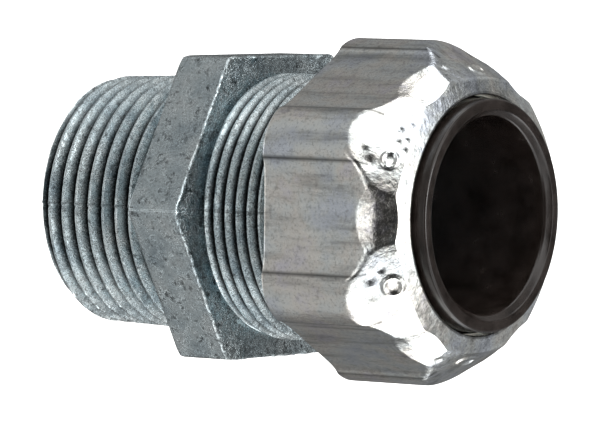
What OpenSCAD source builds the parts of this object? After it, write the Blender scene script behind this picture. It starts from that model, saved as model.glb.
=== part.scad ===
// Straight strain-relief compression fitting for cord or conduit, 3/4 inch hub size.
// Frame: +X runs along the fitting from the hub thread to the cord side, +Z is up, and
// the origin is at the centre of the hex shoulder that meets the box wall.
// Every piece is made along Z and then laid along X by along_x().

/* [Hub thread] */
// Length of the tapered hub thread behind the shoulder
hub_len = 16; // [14:0.5:18]
// Radius over the hub thread crests at the free end
hub_tip_r = 13; // [12.8:0.05:13.2]
// Pitch of the hub thread, 14 threads per inch
hub_pitch = 1.814; // [1.7:0.002:1.9]
// Depth of the hub thread
hub_depth = 1.35; // [1.1:0.05:1.4]
// Radius of the wireway through the hub
throat_r = 10.4; // [9.5:0.1:10.6]

/* [Hex] */
// Width of the hub hex across its flats
hex_af = 31.4; // [30:0.1:34]
// Thickness of the hub hex
hex_t = 6.3; // [5:0.1:8]
// Radius of the shallow relief in the shoulder, round the end of the hub thread
relief_r = 13.8; // [13.6:0.1:14.5]
// Depth of that relief
relief_depth = 0.3; // [0.2:0.05:0.5]

/* [Neck] */
// End of the threaded neck, from the shoulder
neck_end = 23.5; // [22:0.5:23.5]
// Radius over the neck thread crests
neck_r = 13.86; // [13.7:0.02:13.9]
// Pitch of the neck thread, 18 threads per inch
neck_pitch = 1.411; // [1.3:0.001:1.5]
// Depth of the neck thread
neck_depth = 0.85; // [0.6:0.05:0.9]
// Radius of the neck bore that guides the bushing
neck_bore_r = 11.9; // [11.7:0.05:12]
// Where the neck bore starts to narrow towards the throat
seat_x = 13.6; // [13:0.1:14]
// Where the narrowing ends at the throat radius
seat_end_x = 8.5; // [7:0.1:10]

/* [Gland nut] */
// Rear face of the gland nut as found, from the shoulder
nut_back = 15.9; // [15.5:0.1:17]
// Front edge of the nut opening
nut_front = 32; // [32:0.1:32.5]
// Distance from the axis to the middle of a nut side
nut_apothem = 16.1; // [15.9:0.05:16.4]
// Radius of the six rounded nut corners
nut_corner_r = 5.6; // [4.5:0.1:6.5]
// How far each nut side is hollowed at its middle
side_hollow = 0.35; // [0.1:0.05:0.4]
// Angle of each corner's front facet to the axis
facet_tilt = 34; // [30:0.5:38]
// Place where each corner facet leaves the crown of its corner
facet_x = 26.1; // [25.8:0.1:26.8]
// Radius of the first scoop in the front of each side
scoop_r = 14.5; // [13.5:0.5:17]
// Angle of the first scoop to the axis
scoop_tilt = 15.5; // [14:0.5:18]
// Place where the first scoop leaves the middle of its side
scoop_x = 27.5; // [27:0.1:28]
// Radius of the second, steeper scoop
chamfer_scoop_r = 13; // [12:0.5:15]
// Angle of the second scoop to the axis
chamfer_tilt = 28.5; // [26:0.5:31]
// Place where the second scoop leaves the first
chamfer_x = 29.3; // [29:0.1:29.8]
// Radius of the nut opening
opening_r = 12.3; // [12.2:0.05:12.4]
// Radius of the clearance bore over the neck thread
nut_bore_r = 14.05; // [14:0.05:14.1]
// Thickness of the nut's front wall round the opening
nut_wall = 1.3; // [1.2:0.1:1.4]

/* [Bushing] */
// Radius of the cord hole through the bushing
cord_r = 10.1; // [9:0.1:10.3]
// Outer radius of the bushing lip in the nut opening
lip_r = 11.93; // [11.7:0.01:11.95]
// Front face of the bushing lip
lip_x = 33.3; // [33:0.1:34]
// Rear tip of the bushing nose
nose_x = 17.7; // [17.5:0.1:19]
// Radius of the bushing nose inside the neck bore
nose_r = 11.6; // [11.3:0.05:11.6]
// Radius of the bushing collar
collar_r = 13.6; // [13:0.1:13.7]
// Thickness of the bushing collar
collar_t = 2.4; // [2:0.1:2.4]

/* [Rings] */
// Thickness of the slip ring between collar and nut
slip_t = 0.8; // [0.5:0.1:0.8]
// Inner radius of the slip ring
slip_inner_r = 12.15; // [12:0.05:12.3]
// Outer radius of the slip ring
slip_outer_r = 13; // [12.8:0.05:13]
// Wire radius of the grip ring set into the bushing nose
grip_wire_r = 0.45; // [0.3:0.05:0.5]
// Distance from the bushing's rear tip to the grip ring
grip_setback = 3.2; // [2.5:0.1:5]
// Angle left open where the grip ring is split
grip_gap = 12; // [6:1:20]

/* [Hidden] */
$fn = 96;
// Straight facets that stand for one turn of a modelled thread
thread_sides = 36;
// Rise of the hub thread's radius for each millimetre along it
pipe_taper = 1 / 32;
// Casting draft of the neck thread, for each millimetre along it
neck_draft = 1 / 1000;
// Flat left on every thread crest
crest_flat = 0.16;
// Plain length left between the last thread root and the hex
run_out = 0.6;
// Lowest part of a thread's end chamfer, above its root
chamfer_foot = 0.25;
// Height of a hub crest and of a neck crest, each at zero degrees of its own helix
hub_crest = -8.22;
neck_crest = -7.2;
// Width of the flat land round the nut opening, and the rise of the cone outside it
front_land = 0.1;
front_slope = 3.7;
// Gap between pieces that face each other along the axis
face_gap = 0.1;
// Small edge break on the rubber and in the bores
edge = 0.7;
slip_front = nut_front - nut_wall - face_gap;
slip_back = slip_front - slip_t;
collar_front = slip_back - face_gap;
collar_back = collar_front - collar_t;
grip_x = nose_x + grip_setback;
grip_r = nose_r - grip_wire_r;

// Lays a piece that was made along Z along X
module along_x() {
    rotate([0, 90, 0]) children();
}

// A solid of revolution from [radius, height] points
module turned(points) {
    rotate_extrude() polygon(points);
}

// Radius at height z of a thread's crest or root, cut by the chamfer at its free end
function thread_radius(z, z0, r0, taper, depth, is_root) =
    min(r0 + taper * (z - z0) - (is_root ? depth : 0), r0 - depth + chamfer_foot + z - z0);

// Height of the first helix turn whose root starts inside the rod
function first_turn(z0, pitch, crest) =
    let (m = (crest - z0) - pitch * floor((crest - z0) / pitch))
    m > 0.55 * pitch ? z0 + m - pitch : z0 + m;

// A solid right-handed threaded rod from z0, its free end, to z1. Rows of points follow
// the helix, so the last column meets the first one turn further on.
module threaded_rod(z0, z1, r0, taper, pitch, depth, crest) {
    n = thread_sides;
    heights = [pitch / 2, pitch - crest_flat / 2, pitch + crest_flat / 2];
    start = first_turn(z0, pitch, crest);
    rows = 3 * floor((z1 - run_out - start) / pitch - 1.5);
    core = r0 + taper * (z1 - z0) - depth;
    function ring(r, z) =
        [for (i = [0:n - 1]) [r * cos(360 * i / n), r * sin(360 * i / n), z]];
    grid = [for (i = [0:n - 1], j = [0:rows])
        let (a = 360 * i / n,
             z = start + pitch * (floor(j / 3) + i / n) + heights[j % 3],
             r = thread_radius(z, z0, r0, taper, depth, j % 3 == 0))
        [r * cos(a), r * sin(a), z]];
    points = concat(ring(r0 - depth, z0), ring(core, z1), grid);
    // Index of a grid point: column i, row j
    function at(i, j) = 2 * n + i * (rows + 1) + j;
    last = n - 1;
    flanks = [for (i = [0:n - 2], j = [0:rows - 1])
        each [[at(i, j), at(i, j + 1), at(i + 1, j + 1)],
              [at(i, j), at(i + 1, j + 1), at(i + 1, j)]]];
    closing = [for (j = [0:rows - 4])
        each [[at(last, j), at(last, j + 1), at(0, j + 4)],
              [at(last, j), at(0, j + 4), at(0, j + 3)]]];
    free_band = [for (i = [0:n - 2])
        each [[i, at(i, 0), at(i + 1, 0)], [i, at(i + 1, 0), i + 1]]];
    base_band = [for (i = [0:n - 2])
        each [[at(i, rows), n + i, n + i + 1],
              [at(i, rows), n + i + 1, at(i + 1, rows)]]];
    thread_start = [[last, at(last, 0), at(0, 3)], [last, at(0, 3), 0],
                    [0, at(0, 3), at(0, 2)], [0, at(0, 2), at(0, 1)], [0, at(0, 1), at(0, 0)]];
    tail = at(last, rows - 3);
    thread_end = [[tail, 2 * n - 1, n], [tail, n, at(0, rows)],
                  [tail, tail + 1, tail + 2], [tail, tail + 2, tail + 3],
                  [tail, tail + 3, 2 * n - 1]];
    caps = [[for (i = [0:last]) i], [for (i = [0:last]) 2 * n - 1 - i]];
    polyhedron(points, concat(flanks, closing, free_band, base_band, thread_start,
                              thread_end, caps), convexity = 10);
}

// Pipe thread, hex and neck in one casting, bored through with a tapered seat
module hub_body() {
    color([0.72, 0.74, 0.76])
    along_x() difference() {
        union() {
            threaded_rod(-hub_len, run_out, hub_tip_r, pipe_taper, hub_pitch,
                         hub_depth, hub_crest);
            difference() {
                rotate([0, 0, 30]) cylinder(h = hex_t, r = hex_af / sqrt(3), $fn = 6);
                translate([0, 0, -1]) cylinder(h = relief_depth + 1, r = relief_r);
            }
            rotate([180, 0, 0])
                threaded_rod(-neck_end, run_out - hex_t, neck_r, neck_draft, neck_pitch,
                             neck_depth, neck_crest);
        }
        turned([[0, -hub_len - 1], [throat_r + edge, -hub_len - 1],
                [throat_r + edge, -hub_len], [throat_r, edge - hub_len],
                [throat_r, seat_end_x], [neck_bore_r, seat_x],
                [neck_bore_r, neck_end + 1], [0, neck_end + 1]]);
    }
}

// Six sides and six round corners, with the sides facing 30, 90, ... degrees
module nut_outline() {
    corner = (nut_apothem - nut_corner_r) / cos(30);
    for (a = [0:60:300]) rotate(a) translate([corner, 0]) circle(nut_corner_r);
    polygon([for (a = [0:60:300], side = [-30, 30])
        [corner * cos(a) + nut_corner_r * cos(a + side),
         corner * sin(a) + nut_corner_r * sin(a + side)]]);
}

// Outer radius of the nut's corners
function nut_crown_r() = (nut_apothem - nut_corner_r) / cos(30) + nut_corner_r;

// The space that the nut's nearly flat front cone stays within
module nut_front_envelope() {
    crown = nut_crown_r();
    rotate_extrude()
        polygon([[0, nut_back], [crown, nut_back],
                 [crown, nut_front - (crown - opening_r - front_land) / front_slope],
                 [opening_r + front_land, nut_front], [0, nut_front]]);
}

// A tilted cylinder whose near side passes through radius r at height z, on the +X side
module scoop(r, z, radius, tilt) {
    translate([r, 0, z]) rotate([0, -tilt, 0])
        translate([radius, 0, -9]) cylinder(h = 18, r = radius);
}

// One side's hollow and the two crescent scoops in front of it, on the +X side
module side_cuts() {
    half = (nut_apothem - nut_corner_r) * tan(30);
    hollow_r = (half * half + side_hollow * side_hollow) / (2 * side_hollow);
    middle = nut_apothem - side_hollow;
    translate([middle + hollow_r, 0, nut_back - 1])
        cylinder(h = nut_front - nut_back + 2, r = hollow_r);
    scoop(middle, scoop_x, scoop_r, scoop_tilt);
    scoop(middle - (chamfer_x - scoop_x) * tan(scoop_tilt), chamfer_x,
          chamfer_scoop_r, chamfer_tilt);
}

// The flat facet in front of the corner on the +X side
module corner_cut() {
    translate([nut_crown_r(), 0, facet_x]) rotate([0, -facet_tilt, 0])
        translate([0, -9, -4]) cube([12, 18, 18]);
}

// Pressed hexagonal cap nut with a clearance bore over the neck thread
module gland_nut() {
    flange_x = nut_front - nut_wall;
    color([0.80, 0.81, 0.82])
    along_x() difference() {
        intersection() {
            translate([0, 0, nut_back]) linear_extrude(nut_front - nut_back) nut_outline();
            nut_front_envelope();
        }
        for (a = [30:60:330]) rotate([0, 0, a]) side_cuts();
        for (a = [0:60:300]) rotate([0, 0, a]) corner_cut();
        turned([[0, nut_back - 1], [nut_bore_r + edge, nut_back - 1],
                [nut_bore_r + edge, nut_back], [nut_bore_r, nut_back + edge],
                [nut_bore_r, flange_x - 0.95], [nut_bore_r - 0.9, flange_x],
                [opening_r, flange_x], [opening_r, nut_front + 1], [0, nut_front + 1]]);
    }
}

// Flat ring that lets the nut turn without dragging the rubber round
module slip_ring() {
    color([0.88, 0.87, 0.82])
    along_x() turned([[slip_inner_r, slip_back], [slip_outer_r, slip_back],
                      [slip_outer_r, slip_front], [slip_inner_r, slip_front]]);
}

// Rubber sleeve: a nose inside the neck, a collar behind the nut and a lip in its opening
module sealing_bushing() {
    color([0.08, 0.08, 0.09])
    along_x() difference() {
        turned([[cord_r, nose_x], [nose_r - edge, nose_x], [nose_r, nose_x + 2 * edge],
                [nose_r, collar_back], [collar_r, collar_back], [collar_r, collar_front],
                [lip_r, collar_front], [lip_r, lip_x - 0.3], [lip_r - 0.3, lip_x],
                [cord_r + edge, lip_x], [cord_r, lip_x - 0.6]]);
        translate([0, 0, grip_x]) rotate_extrude() translate([grip_r, 0]) {
            circle(grip_wire_r);
            translate([0, -grip_wire_r]) square([1, 2 * grip_wire_r]);
        }
    }
}

// Split wire ring in the groove of the bushing nose
module grip_ring() {
    color([0.62, 0.63, 0.65])
    along_x() translate([0, 0, grip_x]) rotate([0, 0, 90])
        rotate_extrude(angle = 360 - grip_gap) translate([grip_r, 0]) circle(grip_wire_r);
}

hub_body();
gland_nut();
slip_ring();
sealing_bushing();
grip_ring();
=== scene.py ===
"""Looks of a 3/4 inch strain-relief compression fitting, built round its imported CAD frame.

The fitting lies along X: hub thread at -X, gland nut and rubber lip at +X, hex shoulder at 0.
Lengths are written in millimetres and turned into metres where a mesh is made.
Angles round the axis are measured from -Y (0 degrees) up towards +Z (90 degrees).
"""
import math
import random

import bmesh
import bpy
import numpy as np
from mathutils import Matrix, Vector

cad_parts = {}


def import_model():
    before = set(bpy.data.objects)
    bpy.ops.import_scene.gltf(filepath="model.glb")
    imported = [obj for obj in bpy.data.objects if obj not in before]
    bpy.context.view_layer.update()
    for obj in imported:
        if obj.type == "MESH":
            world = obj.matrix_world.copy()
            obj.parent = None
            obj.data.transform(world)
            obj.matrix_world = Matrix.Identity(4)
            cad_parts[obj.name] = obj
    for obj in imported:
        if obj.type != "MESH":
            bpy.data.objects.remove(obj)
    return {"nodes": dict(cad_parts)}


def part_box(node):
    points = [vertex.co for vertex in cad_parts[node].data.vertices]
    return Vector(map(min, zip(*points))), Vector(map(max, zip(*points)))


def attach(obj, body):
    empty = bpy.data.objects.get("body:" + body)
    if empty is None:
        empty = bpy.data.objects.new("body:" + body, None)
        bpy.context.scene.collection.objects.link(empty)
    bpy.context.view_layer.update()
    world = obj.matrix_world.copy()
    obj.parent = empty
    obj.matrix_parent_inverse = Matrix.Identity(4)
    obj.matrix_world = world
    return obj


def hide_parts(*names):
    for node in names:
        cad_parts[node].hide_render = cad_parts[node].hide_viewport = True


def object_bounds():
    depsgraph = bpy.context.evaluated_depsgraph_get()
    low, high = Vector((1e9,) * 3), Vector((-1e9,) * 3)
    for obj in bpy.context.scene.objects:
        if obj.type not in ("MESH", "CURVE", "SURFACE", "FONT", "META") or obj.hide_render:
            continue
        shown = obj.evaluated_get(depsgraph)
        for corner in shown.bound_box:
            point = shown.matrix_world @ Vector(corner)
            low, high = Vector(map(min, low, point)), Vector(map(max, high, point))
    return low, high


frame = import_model()
cad_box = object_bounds()
MM = 0.001

# ---------------------------------------------------------------- driving sizes, mm
HUB_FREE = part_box("hub_body")[0][0] / MM
NECK_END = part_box("hub_body")[1][0] / MM
HEX_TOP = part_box("hub_body")[1][2] / MM
NUT_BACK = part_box("gland_nut")[0][0] / MM
NUT_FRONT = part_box("gland_nut")[1][0] / MM
NUT_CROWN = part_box("gland_nut")[1][2] / MM
LIP_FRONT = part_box("sealing_bushing")[1][0] / MM
NOSE_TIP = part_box("sealing_bushing")[0][0] / MM

# Hub: hex, threads (crest radius, pitch, depth), and the bore with its tapered seat
HEX_LENGTH, HEX_CORNER_ROUND, HEX_CORNER_CUT = 6.3, 0.5, 0.12
HEX_BACK_ROUND, HEX_FRONT_ROUND = 0.45, 0.25
HUB_CREST, HUB_PITCH, HUB_DEPTH, HUB_TAPER = 13.0, 1.814, 1.35, 1 / 32
NECK_CREST, NECK_PITCH, NECK_DEPTH = 13.86, 1.411, 0.85
THROAT, NECK_BORE, SEAT_START, SEAT_END = 10.4, 11.9, 8.5, 13.6
# Place along X of one crest of each thread at 0 degrees
HUB_CREST_X, NECK_CREST_X = -8.67, 6.86
# Height above the root at which the 45 degree lead-in of a thread starts
LEAD_IN = 0.25

# Nut: rounded hexagon with sunk sides, corner facets, two scoops a side, and the front cone
APOTHEM, CORNER_ROUND, SIDE_HOLLOW = 16.1, 5.6, 0.35
FACET_TILT, FACET_X, FACET_ROUND = math.radians(34), 26.1, 0.35
SCOOP_R, SCOOP_TILT, SCOOP_X = 14.5, math.radians(15.5), 27.5
CHAMFER_R, CHAMFER_TILT, CHAMFER_X = 13.0, math.radians(28.5), 29.3
FRONT_SLOPE = 3.7
OPENING, NUT_MINOR, NUT_MAJOR = 12.3, 13.25, 14.05
NUT_WALL, NUT_THREAD_END = 1.3, 25.0
# Where the pressed unevenness of the front starts and where it is full
PRESSED_FROM, PRESSED_FULL = 26.8, 29.0

# Bushing, the slip ring in front of its collar, and the free gap at each face of the ring
CORD_HOLE, LIP_OUTER, NOSE_R, COLLAR_LENGTH = 10.1, 11.93, 11.6, 2.4
GROOVE_SETBACK, GROOVE_R = 3.2, 0.45
SLIP_RING, FACE_GAP = 0.8, 0.1

# Points round the axis
METAL_COLUMNS, RUBBER_COLUMNS = 720, 256
# The depth given to each point, which sets its painted shade: 0 in the open, more at a thread
# crest, and 1 at a root
CREST_DEPTH, SEAM_DEPTH, CREASE_DEPTH = 0.2, 0.55, 0.8


def smooth_min(a, b, radius):
    """The smaller of two arrays, with the corner between them rounded."""
    h = np.clip(0.5 + 0.5 * (b - a) / radius, 0, 1)
    return b + (a - b) * h - radius * h * (1 - h)


def blend_step(x):
    """A smooth step from 0 to 1."""
    x = np.clip(x, 0, 1)
    return x * x * (3 - 2 * x)


def even(a, b, steps):
    """Even steps from a to b; a itself is left out. Either end may be an array."""
    return [a + (b - a) * k / steps for k in range(1, steps + 1)]


def arc(cx, cr, radius, start, end, steps):
    """Points of an arc in the [x, r] plane; angles in degrees from +x towards +r."""
    return [(cx + radius * math.cos(math.radians(start + (end - start) * i / steps)),
             cr + radius * math.sin(math.radians(start + (end - start) * i / steps)))
            for i in range(steps + 1)]


def side_angle(angle):
    """Angle from the nearest of the directions 0, 60, 120, ... degrees."""
    return np.mod(angle + math.pi / 6, math.pi / 3) - math.pi / 6


def around(angle, where, radius):
    """Distance round the surface from the angle where, in degrees, and whether it faces there."""
    turn = angle - math.radians(where)
    return radius * np.sin(turn), np.cos(turn) > 0


# ---------------------------------------------------------------- mesh builder
class Turning:
    """A closed surface built from rings of points round the X axis."""

    def __init__(self, columns):
        self.n = columns
        self.angle = np.arange(columns) * 2 * math.pi / columns
        self.points, self.faces, self.depths = [], [], []

    def add(self, i, x, r, depth=0.0):
        """One point; its depth sets the painted shade of the metal there."""
        a = self.angle[i % self.n]
        self.points.append((x * MM, -r * math.cos(a) * MM, r * math.sin(a) * MM))
        self.depths.append(depth)
        return len(self.points) - 1

    def ring(self, x, r):
        """One ring; x and r are numbers or arrays over the columns."""
        xs, rs = np.broadcast_to(x, self.n), np.broadcast_to(r, self.n)
        return [self.add(i, xs[i], rs[i]) for i in range(self.n)]

    def join(self, a, b):
        """Faces between two rings."""
        for i in range(self.n):
            k = (i + 1) % self.n
            self.faces.append((a[i], a[k], b[k], b[i]))

    def rings(self, start, rows):
        """Joins a row of rings on to start and returns the last one."""
        for x, r in rows:
            new = self.ring(x, r)
            self.join(start, new)
            start = new
        return start

    def helix(self, start, x0, x1, pitch, crest_x, profile, radius, end_radius):
        """A right-handed thread from ring start, near x0, to a new ring at x1.

        profile is a list of [place in the pitch, depth share]; radius(x, share) gives the
        radius. Rows follow the helix, and one more enters or leaves at each end as it climbs.
        """
        count = len(profile)
        end = self.ring(x1, end_radius)
        margin = pitch / count * 0.35
        columns = []
        for i in range(self.n + 1):
            rise = crest_x + pitch * i / self.n
            first = math.floor((min(x0, x1) - rise) / pitch) - 1
            last = math.ceil((max(x0, x1) - rise) / pitch) + 1
            column = {}
            for turn in range(first, last + 1):
                for k, (place, share) in enumerate(profile):
                    x = rise + (turn + place) * pitch
                    if min(x0, x1) + margin < x < max(x0, x1) - margin:
                        r = radius(x, share, self.angle[i % self.n])
                        column[turn * count + k] = (x, r, CREST_DEPTH + (1 - CREST_DEPTH) * share)
            columns.append(column)
        made = [{j: self.add(i, *point) for j, point in columns[i].items()}
                for i in range(self.n)]
        made.append({j: made[0][j + count] for j in columns[self.n] if j + count in made[0]})
        up = x1 > x0
        for i in range(self.n):
            k = (i + 1) % self.n
            left, right = made[i], made[i + 1]
            both = sorted(set(left) & set(right), reverse=not up)
            near_l = [left[j] for j in sorted(left, reverse=not up) if before(j, both[0], up)]
            near_r = [right[j] for j in sorted(right, reverse=not up) if before(j, both[0], up)]
            far_l = [left[j] for j in sorted(left, reverse=not up) if before(both[-1], j, up)]
            far_r = [right[j] for j in sorted(right, reverse=not up) if before(both[-1], j, up)]
            for a, b in zip(both, both[1:]):
                self.faces.append((left[a], right[a], right[b], left[b]))
            self.fan([start[i], *near_l, left[both[0]]], [start[k], *near_r, right[both[0]]])
            self.fan([left[both[-1]], *far_l, end[i]], [right[both[-1]], *far_r, end[k]])
        return end

    def fan(self, left, right):
        """Faces between two short strings of points that share no rows but their ends."""
        a, b = 0, 0
        while a < len(left) - 1 or b < len(right) - 1:
            if len(left) - 1 - a == len(right) - 1 - b:
                self.faces.append((left[a], right[b], right[b + 1], left[a + 1]))
                a, b = a + 1, b + 1
            elif len(left) - 1 - a > len(right) - 1 - b:
                self.faces.append((left[a], right[b], left[a + 1]))
                a += 1
            else:
                self.faces.append((left[a], right[b], right[b + 1]))
                b += 1

    def piece(self, name, smooth_angle=35):
        """Closes the surface into an object with outward faces."""
        mesh = bpy.data.meshes.new(name)
        mesh.from_pydata(self.points, [], self.faces)
        mesh.update()
        mesh.attributes.new("thread_depth", "FLOAT", "POINT").data.foreach_set("value", self.depths)
        work = bmesh.new()
        work.from_mesh(mesh)
        bmesh.ops.recalc_face_normals(work, faces=work.faces)
        limit = math.radians(smooth_angle)
        for face in work.faces:
            face.smooth = True
        for edge in work.edges:
            edge.smooth = len(edge.link_faces) == 2 and edge.calc_face_angle(0) < limit
        work.to_mesh(mesh)
        work.free()
        piece = bpy.data.objects.new(name, mesh)
        bpy.context.scene.collection.objects.link(piece)
        return piece


def before(a, b, up):
    """Whether row a comes before row b in the direction the helix is built."""
    return a < b if up else a > b


def thread_profile(steps, crest_share, root_share):
    """A rounded V thread over one pitch, from crest middle to crest middle."""
    rows = []
    for k in range(steps):
        place = k / steps
        away = min(place, 1 - place) * 2
        share = (away - crest_share) / (1 - crest_share - root_share)
        rows.append((place, float(np.clip(share, 0, 1))))
    return rows


# ---------------------------------------------------------------- hub body
def hex_radius(angle):
    """Radius of the hub's hexagon, with one corner facing -Y."""
    sharp = HEX_TOP / np.cos(math.pi / 6 - np.abs(side_angle(angle)))
    corner = HEX_TOP / math.cos(math.pi / 6) - HEX_CORNER_CUT
    return smooth_min(sharp, np.full_like(sharp, corner), HEX_CORNER_ROUND)


# Parting line of the casting: height and half-width of its ridge and of the groove beside it
SEAM_RIDGE, SEAM_RIDGE_WIDTH = 0.10, 0.14
SEAM_GROOVE, SEAM_GROOVE_WIDTH, SEAM_GROOVE_OFF = 0.07, 0.2, 0.35
# Radius at which each part of the hub meets the parting line
SEAM_THREAD_R, SEAM_HEX_R = 13.3, 17.5
# Share of it left on the neck, where the nut turns over it
SEAM_ON_NECK = 0.15
# Unevenness of the cast threads: height in mm, and how fast it twists along X
WAVE_HEIGHT, WAVE_TWIST = 0.006, 0.21


def parting_line(angle):
    """Ridge and groove left where the two halves of the mould met, at 0 and 180 degrees."""
    away = math.sin(angle) * SEAM_THREAD_R
    groove = SEAM_GROOVE * math.exp(-((away + SEAM_GROOVE_OFF) / SEAM_GROOVE_WIDTH) ** 2)
    return SEAM_RIDGE * math.exp(-(away / SEAM_RIDGE_WIDTH) ** 2) - groove


# Casting pits and nicks on the hex, at a mean radius of NICK_R: angle, x, size, depth
HEX_NICKS = ((3.5, 2.0, 0.35, 0.16), (5.0, 2.9, 0.30, 0.14), (2.6, 3.6, 0.40, 0.15),
             (4.2, 4.6, 0.35, 0.13), (14.0, 3.6, 0.35, 0.12), (19.0, 2.4, 0.28, 0.10),
             (27.0, 4.4, 0.30, 0.12), (33.0, 2.2, 0.35, 0.12), (-9.0, 3.0, 0.28, 0.10),
             (-17.0, 4.4, 0.32, 0.10), (-24.0, 2.3, 0.30, 0.10), (-31.0, 4.0, 0.30, 0.10),
             (72.0, 3.2, 0.35, 0.12), (101.0, 2.0, 0.30, 0.10), (-66.0, 4.1, 0.30, 0.10),
             (140.0, 3.1, 0.35, 0.12), (-128.0, 2.6, 0.35, 0.12), (171.0, 4.0, 0.30, 0.10))
NICK_R = 17.0


def hex_dents(angle, x):
    """Depth of the nicks in the hex faces at height x."""
    depth = np.zeros(len(angle))
    for where, at, size, deep in HEX_NICKS:
        across, near = around(angle, where, NICK_R)
        depth += np.where(near, deep * np.exp(-(across ** 2 + (x - at) ** 2) / size ** 2), 0)
    return depth


def build_hub():
    """The cast body: hub thread, hex, neck thread and bore, with the marks of its casting."""
    t = Turning(METAL_COLUMNS)
    rough = random.Random(11)
    waves = [(rough.randint(2, 40), rough.uniform(0, 6.28), rough.uniform(0.5, 1))
             for _ in range(9)]

    def ripple(x, angle, seam):
        uneven = sum(w * math.sin(k * angle + p + x * k * WAVE_TWIST) for k, p, w in waves)
        return uneven * WAVE_HEIGHT + seam * parting_line(angle)

    # Beads of burr along the front edge of the hex
    beads = [(rough.uniform(0, 2 * math.pi), rough.uniform(0.012, 0.04), rough.uniform(0.04, 0.16))
             for _ in range(150)]
    burr = sum(h * np.exp(-(np.sin((t.angle - a) / 2) * 2 / w) ** 2) for a, w, h in beads)

    def hub_radius(x, share, angle):
        crest = HUB_CREST + HUB_TAPER * (x - HUB_FREE)
        cut = HUB_CREST - HUB_DEPTH + LEAD_IN + (x - HUB_FREE)
        return min(crest - HUB_DEPTH * share, cut) + ripple(x, angle, 1.0)

    def neck_radius(x, share, angle):
        cut = NECK_CREST - NECK_DEPTH + LEAD_IN + (NECK_END - x)
        run_in = blend_step((x - HEX_LENGTH - 0.15) / 0.5)
        depth = NECK_DEPTH * (1 - (1 - share) * run_in)
        return min(NECK_CREST - depth, cut) + ripple(x, angle, SEAM_ON_NECK)

    # Free end and hub thread
    start_r = HUB_CREST - HUB_DEPTH
    base_r = HUB_CREST + HUB_TAPER * -HUB_FREE - HUB_DEPTH + 0.5
    lip = t.ring(HUB_FREE, THROAT + 0.7)
    free = t.rings(lip, [(HUB_FREE, start_r - 0.15), (HUB_FREE + 0.04, start_r - 0.04),
                         (HUB_FREE + 0.15, start_r)])
    base = t.helix(free, HUB_FREE + 0.15, -0.25, HUB_PITCH, HUB_CREST_X,
                   thread_profile(12, 0.14, 0.03), hub_radius, base_r)
    # Hex: back face, rounded edge, sides with their nicks, and front edge with its burr
    outline = hex_radius(t.angle) - 0.16 * np.exp(-(np.sin(t.angle) * SEAM_HEX_R / 0.22) ** 2)
    back, front = HEX_BACK_ROUND, HEX_FRONT_ROUND
    rows = [(-0.06, base_r + 0.06), (0.0, base_r + 0.25)]
    rows += [(0.0, r) for r in even(base_r + 0.25, outline - back, 10)]
    rows += [(back - back * math.cos(math.radians(a)),
              outline - back + back * math.sin(math.radians(a))) for a in (30, 60, 90)]
    rows += [(x, outline - hex_dents(t.angle, x))
             for x in np.linspace(back, HEX_LENGTH - front, 40)[1:]]
    rows += [(HEX_LENGTH - front + (front + burr * 0.5) * math.sin(math.radians(a)),
              outline - front + front * math.cos(math.radians(a))
              + np.minimum(burr, 0.2) * math.sin(math.radians(2 * a)) * 0.5)
             for a in (15, 30, 45, 60, 75, 90)]
    # Front face of the hex and neck thread
    neck_r = NECK_CREST - NECK_DEPTH
    rows += [(HEX_LENGTH, r) for r in even(outline - front, neck_r + 0.2, 8)]
    rows += [(HEX_LENGTH + 0.06, neck_r + 0.06), (HEX_LENGTH + 0.2, neck_r)]
    end = t.helix(t.rings(base, rows), HEX_LENGTH + 0.2, NECK_END - 0.15, NECK_PITCH, NECK_CREST_X,
                  thread_profile(12, 0.16, 0.06), neck_radius, neck_r + 0.1)
    # Mouth of the neck, neck bore, tapered seat and throat
    rows = [(NECK_END - 0.04, neck_r + 0.04), (NECK_END, neck_r - 0.08),
            (NECK_END, NECK_BORE + 0.35), (NECK_END - 0.35, NECK_BORE)]
    rows += [(x, NECK_BORE) for x in even(NECK_END, SEAT_END, 12)]
    rows += zip(even(SEAT_END, SEAT_START, 8), even(NECK_BORE, THROAT, 8))
    rows += [(x, THROAT) for x in even(SEAT_START, HUB_FREE + 0.7, 14)]
    t.join(t.rings(end, rows), lip)
    # Darker along the parting line, and painted shadow on the rim of the free end
    rim, seam = (HUB_FREE + 0.4) * MM, SEAM_RIDGE_WIDTH * MM
    t.depths = [max(depth, SEAM_DEPTH) if abs(z) < seam or x < rim else depth
                for depth, (x, _, z) in zip(t.depths, t.points)]
    return t.piece("cast_hub")


# ---------------------------------------------------------------- gland nut
def nut_outline(angle):
    """Radius of the rounded hexagon, each side a panel sunk between two creases."""
    local = side_angle(angle)
    corner = (APOTHEM - CORNER_ROUND) / math.cos(math.pi / 6)
    off = math.pi / 6 - np.abs(local)
    half = (APOTHEM - CORNER_ROUND) * math.tan(math.pi / 6)
    inside = np.clip(CORNER_ROUND ** 2 - (corner * np.sin(off)) ** 2, 0, None)
    rounded = corner * np.cos(off) + np.sqrt(inside)
    across = np.clip(np.abs(np.tan(local) * APOTHEM) / half, 0, 1)
    panel = (APOTHEM - SIDE_HOLLOW * (1 - across ** 8)) / np.cos(local)
    return np.where(across < 1, panel, rounded)


def scoop_radius(angle, x, depth, radius, tilt, at):
    """Radius left at height x by a tilted cylinder that passes through depth at height at."""
    local = side_angle(angle)
    middle = depth - (x - at) * math.tan(tilt)
    bend = 2 * np.tan(local) ** 2 * middle / (radius * math.cos(tilt))
    return 2 * middle / (1 + np.sqrt(np.clip(1 - bend, 0, None))) / np.cos(local)


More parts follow.
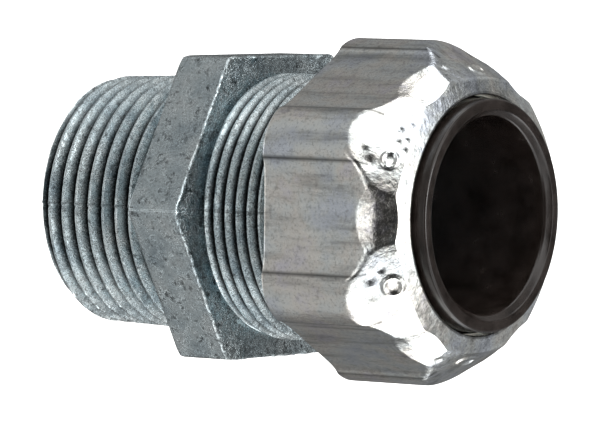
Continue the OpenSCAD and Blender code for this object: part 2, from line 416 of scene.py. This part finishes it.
def nut_front(angle, x):
    """Radius of the nut at height x, with its scoops, corner facets and front cone."""
    middle = APOTHEM - SIDE_HOLLOW
    first = scoop_radius(angle, x, middle, SCOOP_R, SCOOP_TILT, SCOOP_X)
    second = scoop_radius(angle, x, middle - (CHAMFER_X - SCOOP_X) * math.tan(SCOOP_TILT),
                          CHAMFER_R, CHAMFER_TILT, CHAMFER_X)
    facet = NUT_CROWN - (x - FACET_X) * math.tan(FACET_TILT)
    # A slightly rounded facet: a flat one would be divided by the whole cosine
    facet = facet / np.cos(math.pi / 6 - np.abs(side_angle(angle))) ** FACET_ROUND
    cone = np.full(len(angle), OPENING + 0.1 + (NUT_FRONT - x) * FRONT_SLOPE)
    shape = smooth_min(nut_outline(angle), first, 0.06)
    shape = smooth_min(shape, facet, 0.4)
    return smooth_min(smooth_min(shape, second, 0.12), cone, 0.3)


# Blank oval and round pips on the corner facets: angle, x, half-widths across and along, rise
PIPS = ((23.5, 30.2, 0.75, 0.75, 0.16), (-27.0, 30.4, 0.95, 0.95, 0.16),
        (94.0, 30.4, 1.0, 0.7, 0.14), (-90.0, 30.2, 1.25, 0.75, 0.14),
        (152.0, 30.3, 0.8, 0.8, 0.14), (-150.0, 30.3, 0.8, 0.8, 0.14))
# Shallow dents left in the front by the press: angle, x, size, depth
DENTS = ((31.0, 30.5, 0.35, 0.10), (36.5, 30.3, 0.30, 0.12), (33.0, 31.1, 0.28, 0.10),
         (40.0, 31.0, 0.30, 0.10), (28.5, 31.2, 0.25, 0.09), (45.0, 30.8, 0.30, 0.08),
         (21.0, 28.6, 0.60, 0.16), (27.0, 28.0, 0.45, -0.10), (-22.0, 28.7, 0.55, 0.15),
         (-31.0, 28.2, 0.50, -0.10), (-19.0, 29.8, 0.40, 0.12), (75.0, 29.6, 0.50, 0.12),
         (-72.0, 29.9, 0.50, 0.12), (118.0, 29.5, 0.50, 0.12), (-112.0, 30.5, 0.45, 0.10))
# Length along the slanted front for each mm along X
FRONT_STRETCH = 1.2


def nut_relief(angle, x, r):
    """Height of the pips and dents above the pressed front, as an array over the columns."""
    height = np.zeros(len(angle))
    for where, at, wide, deep, rise in PIPS:
        across, near = around(angle, where, r)
        reach = np.sqrt((across / wide) ** 2 + ((x - at) * FRONT_STRETCH / deep) ** 2)
        ridge = np.exp(-((reach - 1) / 0.26) ** 2) - 0.35 * np.exp(-(reach / 0.6) ** 2)
        height += np.where(near, rise * ridge, 0)
    for where, at, size, depth in DENTS:
        across, near = around(angle, where, r)
        away = (across ** 2 + ((x - at) * FRONT_STRETCH) ** 2) / size ** 2
        height -= np.where(near, depth * np.exp(-away), 0)
    return height


def build_nut():
    """The pressed nut: sunk sides, faceted front, opening and internal thread."""
    t = Turning(METAL_COLUMNS)
    outline = nut_outline(t.angle)
    entry = NUT_MAJOR + 0.55
    start = t.ring(NUT_BACK, entry)
    rows = [(NUT_BACK, r) for r in even(entry, outline - 0.3, 4)]
    rows += [(NUT_BACK + 0.1, outline - 0.08)]
    # Rows lie close together over the scoops and closest at the front edge
    for x in (*np.linspace(NUT_BACK + 0.3, 25.9, 40), *np.linspace(26, 30.4, 110),
              *np.linspace(30.42, NUT_FRONT - 0.05, 100)):
        r = nut_front(t.angle, x)
        rise = nut_relief(t.angle, x, r) if x > 27 else 0.0
        rows.append((np.minimum(x + rise * math.sin(FACET_TILT), NUT_FRONT),
                     r + rise * math.cos(FACET_TILT)))
    flange = NUT_FRONT - NUT_WALL
    rows += [(NUT_FRONT, OPENING + 0.3), (NUT_FRONT - 0.02, OPENING + 0.12),
             (NUT_FRONT - 0.15, OPENING), (flange, OPENING), (flange, NUT_MAJOR - 0.9),
             (flange - 0.95, NUT_MAJOR), (NUT_THREAD_END, NUT_MAJOR)]

    def inner_radius(x, share, angle):
        run = blend_step((NUT_THREAD_END - 0.2 - x) / 0.6) * blend_step((x - NUT_BACK - 0.2) / 0.7)
        return NUT_MAJOR - (NUT_MAJOR - NUT_MINOR) * share * run

    back = t.helix(t.rings(start, rows), NUT_THREAD_END, NUT_BACK + 0.5, NECK_PITCH, NECK_CREST_X,
                   thread_profile(8, 0.10, 0.10), inner_radius, NUT_MAJOR)
    t.join(t.rings(back, [(NUT_BACK + 0.12, NUT_MAJOR + 0.4)]), start)
    # Painted shade in the creases beside the sunk sides
    x, y, z = np.array(t.points).T / MM
    across = np.abs(np.tan(side_angle(np.arctan2(z, -y)))) * APOTHEM
    crease = (APOTHEM - CORNER_ROUND) * math.tan(math.pi / 6) - 0.2
    line = np.exp(-((across - crease) / 0.17) ** 2)
    outside = (np.hypot(y, z) > NUT_MAJOR + 0.6) & (x < SCOOP_X + 1)
    t.depths = list(np.where(outside, line * CREASE_DEPTH, t.depths))
    return t.piece("steel_gland_nut", 30)


# ---------------------------------------------------------------- rubber bushing
def build_bushing():
    """The rubber bushing: tapered nose with its ring groove, collar, lip and cord hole."""
    t = Turning(RUBBER_COLUMNS)
    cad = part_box("sealing_bushing")
    collar_r = cad[1][2] / MM
    collar_front = NUT_FRONT - NUT_WALL - FACE_GAP - SLIP_RING - FACE_GAP
    collar_back = collar_front - COLLAR_LENGTH
    groove_x, groove_r = NOSE_TIP + GROOVE_SETBACK, NOSE_R - GROOVE_R
    start = t.ring(NOSE_TIP, CORD_HOLE + 0.3)
    # Nose and groove
    rows = [(NOSE_TIP, NOSE_R - 0.9), (NOSE_TIP + 0.1, NOSE_R - 0.7),
            (NOSE_TIP + 1.3, NOSE_R - 0.05), (NOSE_TIP + 1.5, NOSE_R),
            (groove_x - GROOVE_R - 0.01, NOSE_R), (groove_x - GROOVE_R, groove_r)]
    rows += [(groove_x - GROOVE_R * math.cos(math.radians(a)),
              groove_r - GROOVE_R * math.sin(math.radians(a))) for a in range(30, 180, 30)]
    rows += [(groove_x + GROOVE_R, groove_r), (groove_x + GROOVE_R + 0.01, NOSE_R)]
    rows += [(x, NOSE_R) for x in even(groove_x + 0.5, collar_back - 0.15, 6)]
    # Collar
    rows += [(collar_back, NOSE_R + 0.15), (collar_back, collar_r - 0.2),
             (collar_back + 0.06, collar_r - 0.06), (collar_back + 0.2, collar_r),
             (collar_front - 0.2, collar_r), (collar_front - 0.06, collar_r - 0.06),
             (collar_front, collar_r - 0.2), (collar_front, LIP_OUTER + 0.02),
             (collar_front + 0.02, LIP_OUTER)]
    # Lip with its rounded edge and shallow channel
    rows += [(x, LIP_OUTER) for x in even(collar_front, LIP_FRONT - 0.3, 8)]
    rows += arc(LIP_FRONT - 0.28, LIP_OUTER - 0.28, 0.28, 80, 0, 6)
    rows += [(LIP_FRONT - 0.02, LIP_OUTER - 0.45), (LIP_FRONT - 0.05, LIP_OUTER - 0.62),
             (LIP_FRONT - 0.03, LIP_OUTER - 0.8), (LIP_FRONT, LIP_OUTER - 0.98)]
    # Cord hole
    rows += [(LIP_FRONT - 0.04, CORD_HOLE + 0.72), (LIP_FRONT - 0.2, CORD_HOLE + 0.62),
             (LIP_FRONT - 0.45, CORD_HOLE + 0.2), (LIP_FRONT - 0.62, CORD_HOLE + 0.04),
             (LIP_FRONT - 0.85, CORD_HOLE)]
    rows += [(x, CORD_HOLE) for x in even(LIP_FRONT - 0.85, NOSE_TIP + 0.3, 14)]
    t.join(t.rings(start, rows), start)
    return t.piece("rubber_bushing")


# ---------------------------------------------------------------- materials
def material(name):
    """A new node material, its tree, its shader and the object coordinates."""
    mat = bpy.data.materials.new(name)
    mat.use_nodes = True
    tree = mat.node_tree
    place = node(tree, "ShaderNodeTexCoord").outputs["Object"]
    return mat, tree, tree.nodes["Principled BSDF"], place


def feed(tree, socket, value):
    """Links an output into the socket, or sets the socket to a constant."""
    if isinstance(value, bpy.types.NodeSocket):
        tree.links.new(value, socket)
    else:
        socket.default_value = value


def node(tree, kind, **values):
    """A new node; each value goes to the input or, failing that, the setting of that name."""
    made = tree.nodes.new(kind)
    for key, value in values.items():
        if key in made.inputs:
            feed(tree, made.inputs[key], value)
        else:
            setattr(made, key, value)
    return made


def noise(tree, scale, detail, source, roughness=0.6):
    """A noise pattern of values from 0 to 1."""
    return node(tree, "ShaderNodeTexNoise", Scale=scale, Detail=detail, Roughness=roughness,
                Vector=source).outputs["Fac"]


def ramp(tree, source, *stops):
    """A colour ramp; each stop is a place and a grey level or a colour."""
    made = node(tree, "ShaderNodeValToRGB", Fac=source)
    bar = made.color_ramp
    while len(bar.elements) < len(stops):
        bar.elements.new(0.5)
    for element, (place, colour) in zip(bar.elements, stops):
        element.position = place
        element.color = (*colour, 1) if isinstance(colour, tuple) else (colour, colour, colour, 1)
    return made.outputs["Color"]


def bump(tree, height, strength, distance, previous=None):
    """Bumps of the given height in mm, laid over the previous normal."""
    made = node(tree, "ShaderNodeBump", Strength=strength, Distance=distance * MM, Height=height)
    if previous is not None:
        tree.links.new(previous, made.inputs["Normal"])
    return made.outputs["Normal"]


def multiplied(tree, factor, a, b):
    """Colour a times colour b, to the share that factor gives."""
    return node(tree, "ShaderNodeMixRGB", blend_type="MULTIPLY", Fac=factor, Color1=a,
                Color2=b).outputs["Color"]


def smooth_range(tree, source, low, high, to_low, to_high):
    """A smooth change from to_low to to_high while source goes from low to high."""
    limits = {"From Min": low, "From Max": high, "To Min": to_low, "To Max": to_high}
    return node(tree, "ShaderNodeMapRange", interpolation_type="SMOOTHSTEP", Value=source,
                **limits).outputs["Result"]


def painted_cavity_shade(tree, dark, low, high):
    """Grey level that darkens the concave places: painted shade, together with the dirt that
    gathers there.
    """
    shape = node(tree, "ShaderNodeNewGeometry").outputs["Pointiness"]
    return ramp(tree, shape, (low, dark), (high, 1.0))


def depth_grey(tree, *stops):
    """Grey level over the depth that each mesh point was given; the materials use it for painted
    shade and as a mask.
    """
    depth = node(tree, "ShaderNodeAttribute", attribute_name="thread_depth").outputs["Fac"]
    return ramp(tree, depth, *stops)


def dress(tree, shader, values):
    """Feeds the shader's inputs by name."""
    for key, value in values.items():
        feed(tree, shader.inputs[key], value)


def cast_zinc():
    """Grey, pitted casting with bright crests and painted shade down in the threads."""
    mat, tree, shader, place = material("cast_zinc")
    cloud = noise(tree, 260, 6, place)
    grain = noise(tree, 4600, 5, place, 0.8)
    pits = noise(tree, 1500, 2, place)
    scratch = noise(tree, 900, 9, place, 0.8)
    tone = ramp(tree, cloud, (0.30, (0.50, 0.60, 0.65)), (0.50, (0.74, 0.84, 0.87)),
                (0.70, (0.88, 0.95, 0.96)))
    speck = ramp(tree, pits, (0.30, 0.35), (0.40, 1.0))
    fleck = ramp(tree, scratch, (0.40, 0.22), (0.50, 0.88), (0.62, 1.0))
    dust = ramp(tree, grain, (0.38, 0.25), (0.49, 0.95), (0.60, 1.0))
    # Painted shade by the depth of each point: darkest in the thread roots, darker on the parting
    # line and free-end rim, plain faces a little darker than the crests
    painted_thread_shade = depth_grey(tree, (0.0, 0.80), (0.15, 1.0), (0.26, 1.0), (0.42, 0.92), (0.63, 0.38),
                       (0.79, 0.05), (1.0, 0.02))
    off_thread = depth_grey(tree, (0.0, 0.95), (0.15, 0.30))
    worn = tone
    # The last two layers are painted shade: by the depth of each point, and in concave places
    for factor, layer in ((0.8, speck), (0.6, dust), (off_thread, fleck), (1.0, painted_thread_shade),
                          (1.0, painted_cavity_shade(tree, 0.08, 0.40, 0.485))):
        worn = multiplied(tree, factor, worn, layer)
    low = bump(tree, cloud, 0.6, 0.14)
    fine = bump(tree, grain, 0.5, 0.03, low)
    dress(tree, shader, {"Base Color": worn, "Metallic": 1.0,
                         "Roughness": ramp(tree, grain, (0.3, 0.16), (0.7, 0.32)),
                         "Normal": bump(tree, fleck, 0.6, 0.05, fine)})
    return mat


def plated_steel():
    """Bright plating with drawn streaks and a faint tint, and an uneven pressed front."""
    mat, tree, shader, place = material("plated_steel")
    drawn = node(tree, "ShaderNodeMapping", Scale=(0.12, 1.0, 1.0), Vector=place)
    cloud = noise(tree, 170, 4, place)
    streak = noise(tree, 620, 5, drawn.outputs["Vector"])
    mottle = noise(tree, 900, 4, place)
    grain = noise(tree, 3400, 4, place, 0.75)
    tint = ramp(tree, cloud, (0.34, (0.76, 0.81, 0.88)), (0.46, (0.86, 0.89, 0.87)),
                (0.56, (0.92, 0.89, 0.83)), (0.66, (0.86, 0.84, 0.89)))
    lines = ramp(tree, streak, (0.34, 0.42), (0.48, 0.86), (0.60, 1.0))
    dark = ramp(tree, mottle, (0.28, 0.62), (0.42, 1.0))
    dust = ramp(tree, grain, (0.38, 0.15), (0.47, 0.90), (0.56, 1.0))
    # Painted shade by the depth of each point: in the creases beside the sunk sides and down the
    # internal thread
    painted_depth_shade = depth_grey(tree, (0.0, 1.0), (0.8, 0.22))
    worn = tint
    # The last two layers are painted shade: by the depth of each point, and in concave places
    for factor, layer in ((0.75, lines), (0.7, dark), (0.35, dust), (1.0, painted_depth_shade),
                          (1.0, painted_cavity_shade(tree, 0.25, 0.44, 0.49))):
        worn = multiplied(tree, factor, worn, layer)
    along = node(tree, "ShaderNodeSeparateXYZ", Vector=place)
    front = smooth_range(tree, along.outputs["X"], PRESSED_FROM * MM, PRESSED_FULL * MM, 0.25, 1.0)
    low = bump(tree, cloud, 0.35, 0.2)
    pressed = bump(tree, mottle, front, 0.07, low)
    dress(tree, shader, {"Base Color": worn, "Metallic": 1.0,
                         "Roughness": ramp(tree, mottle, (0.3, 0.12), (0.7, 0.24)),
                         "Normal": bump(tree, grain, 0.7, 0.03, pressed)})
    return mat


def black_rubber():
    """Moulded black rubber, a little brown, with a cloudy half gloss."""
    mat, tree, shader, place = material("black_rubber")
    bloom = noise(tree, 420, 5, place)
    grain = noise(tree, 4200, 3, place)
    low = bump(tree, bloom, 0.25, 0.1)
    colour = ramp(tree, bloom, (0.35, (0.0050, 0.0035, 0.0028)), (0.70, (0.0150, 0.0115, 0.0100)))
    dress(tree, shader, {"Base Color": colour, "Specular IOR Level": 0.4,
                         "Roughness": ramp(tree, bloom, (0.3, 0.16), (0.75, 0.30)),
                         "Normal": bump(tree, grain, 0.4, 0.02, low)})
    return mat


def ring_nylon():
    """Natural nylon of the slip ring."""
    mat, tree, shader, place = material("ring_nylon")
    cloud = noise(tree, 300, 4, place)
    grain = noise(tree, 4000, 2, place)
    colour = ramp(tree, cloud, (0.35, (0.70, 0.67, 0.58)), (0.7, (0.80, 0.78, 0.70)))
    dress(tree, shader, {"Base Color": colour, "Roughness": 0.45, "Subsurface Weight": 0.1,
                         "Normal": bump(tree, grain, 0.25, 0.02)})
    return mat


def spring_steel():
    """Drawn wire of the grip ring."""
    mat, tree, shader, place = material("spring_steel")
    streak = noise(tree, 2400, 3, place)
    colour = ramp(tree, streak, (0.3, (0.52, 0.53, 0.54)), (0.7, (0.66, 0.67, 0.68)))
    dress(tree, shader, {"Base Color": colour, "Metallic": 1.0, "Roughness": 0.28,
                         "Normal": bump(tree, streak, 0.3, 0.01)})
    return mat


def show(piece, body, stands_for, mat):
    """Puts a finished piece on its body, in the place of one CAD node."""
    piece.data.materials.append(mat)
    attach(piece, body)
    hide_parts(stands_for)


show(build_hub(), "hub", "hub_body", cast_zinc())
show(build_nut(), "nut", "gland_nut", plated_steel())
show(build_bushing(), "bushing", "sealing_bushing", black_rubber())
# The two hidden rings are shown as they come from the CAD
for name, mat in (("slip_ring", ring_nylon()), ("grip_ring", spring_steel())):
    obj = frame["nodes"][name]
    for slot in obj.material_slots:
        slot.material = mat


# ---------------------------------------------------------------- stage, light and camera
# In metres: the floor's radius and how far it lies below the fitting
FLOOR_RADIUS, FLOOR_DROP = 8.0, 0.03

# Soft patches of the studio round the fitting: direction, degrees off it at which the patch
# begins to fade and at which it ends, and strength
SKY_LEVEL = 0.40
BRIGHT_PATCHES = (((0.0, 0.2, 0.98), 10, 23, 2.4), ((0.0, 0.2, -0.98), 12, 30, 3.4),
                  ((1.0, -0.05, 0.05), 22, 48, 2.0), ((-1.0, -0.05, 0.0), 10, 26, 1.0),
                  ((-0.12, -1.0, 0.0), 7, 16, 1.6),
                  ((0.40, -0.36, 0.84), 17, 28, 1.8), ((0.40, -0.36, -0.86), 17, 28, 1.8))
# Strength here is the share of the light that the patch takes away
DARK_PATCHES = (((0.6, -0.8, 0.0), 30, 37, 0.92), ((0.6, 0.8, 0.0), 14, 26, 0.7),
                ((-0.4, 0.25, 0.88), 8, 18, 0.45), ((-0.4, 0.25, -0.88), 8, 18, 0.45),
                ((-0.55, 0.7, -0.45), 25, 48, 0.5), ((-0.5, 0.75, 0.4), 20, 42, 0.35),
                ((-0.8, 0.6, 0.0), 8, 28, 0.7))

# Camera: azimuth, elevation and roll in degrees, the point it looks at in mm, and its distance
VIEW_ANGLES, VIEW_TARGET, VIEW_DISTANCE = (36.6, 2.9, 0.58), (8.86, 0, -0.446), 0.6241


def placed(name, data):
    """A new object for the data, in the scene."""
    made = bpy.data.objects.new(name, data)
    bpy.context.scene.collection.objects.link(made)
    return made


def build_floor():
    """A pale floor that is left out of the reflections."""
    t = bmesh.new()
    bmesh.ops.create_circle(t, cap_ends=True, radius=FLOOR_RADIUS, segments=96)
    mesh = bpy.data.meshes.new("studio_floor")
    t.to_mesh(mesh)
    t.free()
    floor = placed("studio_floor", mesh)
    floor.location.z = cad_box[0][2] - FLOOR_DROP
    floor.visible_glossy = False
    mat, tree, shader, place = material("pale_floor")
    pale = ramp(tree, noise(tree, 3, 3, place), (0.3, 0.93), (0.7, 0.95))
    dress(tree, shader, {"Base Color": pale, "Roughness": 0.9, "Specular IOR Level": 0.1})
    floor.data.materials.append(mat)


def right_card():
    """A small lamp that lights the right side of the rubber lip."""
    data = bpy.data.lights.new("right_card", "AREA")
    data.shape, data.size, data.size_y, data.energy = "RECTANGLE", 0.10, 0.25, 1.0
    lamp = placed("right_card", data)
    lamp.location = (0.50, -0.02, 0.05)
    toward = Vector((0.03, 0, 0)) - lamp.location
    lamp.rotation_euler = toward.to_track_quat("-Z", "Y").to_euler()


def sky_patch(tree, direction, toward, centre, edge, strength):
    """Strength inside a patch of the sky, fading to 0; centre and edge in degrees off toward."""
    dot = node(tree, "ShaderNodeVectorMath", operation="DOT_PRODUCT")
    tree.links.new(direction, dot.inputs[0])
    dot.inputs[1].default_value = Vector(toward).normalized()
    return smooth_range(tree, dot.outputs["Value"], math.cos(math.radians(edge)),
                        math.cos(math.radians(centre)), 0.0, strength)


def combined(tree, operation, first, second):
    """The result of a calculation with two numbers or outputs."""
    total = node(tree, "ShaderNodeMath", operation=operation)
    feed(tree, total.inputs[0], first)
    feed(tree, total.inputs[1], second)
    return total.outputs["Value"]


def build_lights():
    """A wash for the floor, a card for the lip, and a sky of bright and dark patches."""
    sun = bpy.data.lights.new("floor_wash", "SUN")
    sun.energy, sun.angle = 4.2, math.radians(150)
    placed("floor_wash", sun).visible_glossy = False
    right_card()
    world = bpy.data.worlds.new("studio")
    bpy.context.scene.world = world
    world.use_nodes = True
    tree = world.node_tree
    direction = node(tree, "ShaderNodeTexCoord").outputs["Generated"]
    level = SKY_LEVEL
    for patch in BRIGHT_PATCHES:
        level = combined(tree, "ADD", sky_patch(tree, direction, *patch), level)
    for patch in DARK_PATCHES:
        left = combined(tree, "SUBTRACT", 1.0, sky_patch(tree, direction, *patch))
        level = combined(tree, "MULTIPLY", level, left)
    dress(tree, tree.nodes["Background"], {"Strength": level, "Color": (1, 1, 1, 1)})
    bpy.context.scene.view_settings.view_transform = "Standard"


def build_camera():
    """A long lens at the angle of the view, with a little roll."""
    azimuth, elevation, roll = (math.radians(v) for v in VIEW_ANGLES)
    away = Vector((math.sin(azimuth) * math.cos(elevation),
                   -math.cos(azimuth) * math.cos(elevation), math.sin(elevation)))
    side = Vector((math.cos(azimuth), math.sin(azimuth), 0))
    up = away.cross(side)
    right = side * math.cos(roll) + up * math.sin(roll)
    above = up * math.cos(roll) - side * math.sin(roll)
    turn = Matrix((right, above, away)).transposed().to_4x4()
    data = bpy.data.cameras.new("camera")
    data.lens, data.sensor_width = 360.0, 36.0
    data.clip_start, data.clip_end = 0.05, 30.0
    camera = placed("camera", data)
    target = Vector(VIEW_TARGET) * MM
    camera.matrix_world = Matrix.Translation(target + away * VIEW_DISTANCE) @ turn
    bpy.context.scene.camera = camera


build_floor()
build_lights()
build_camera()
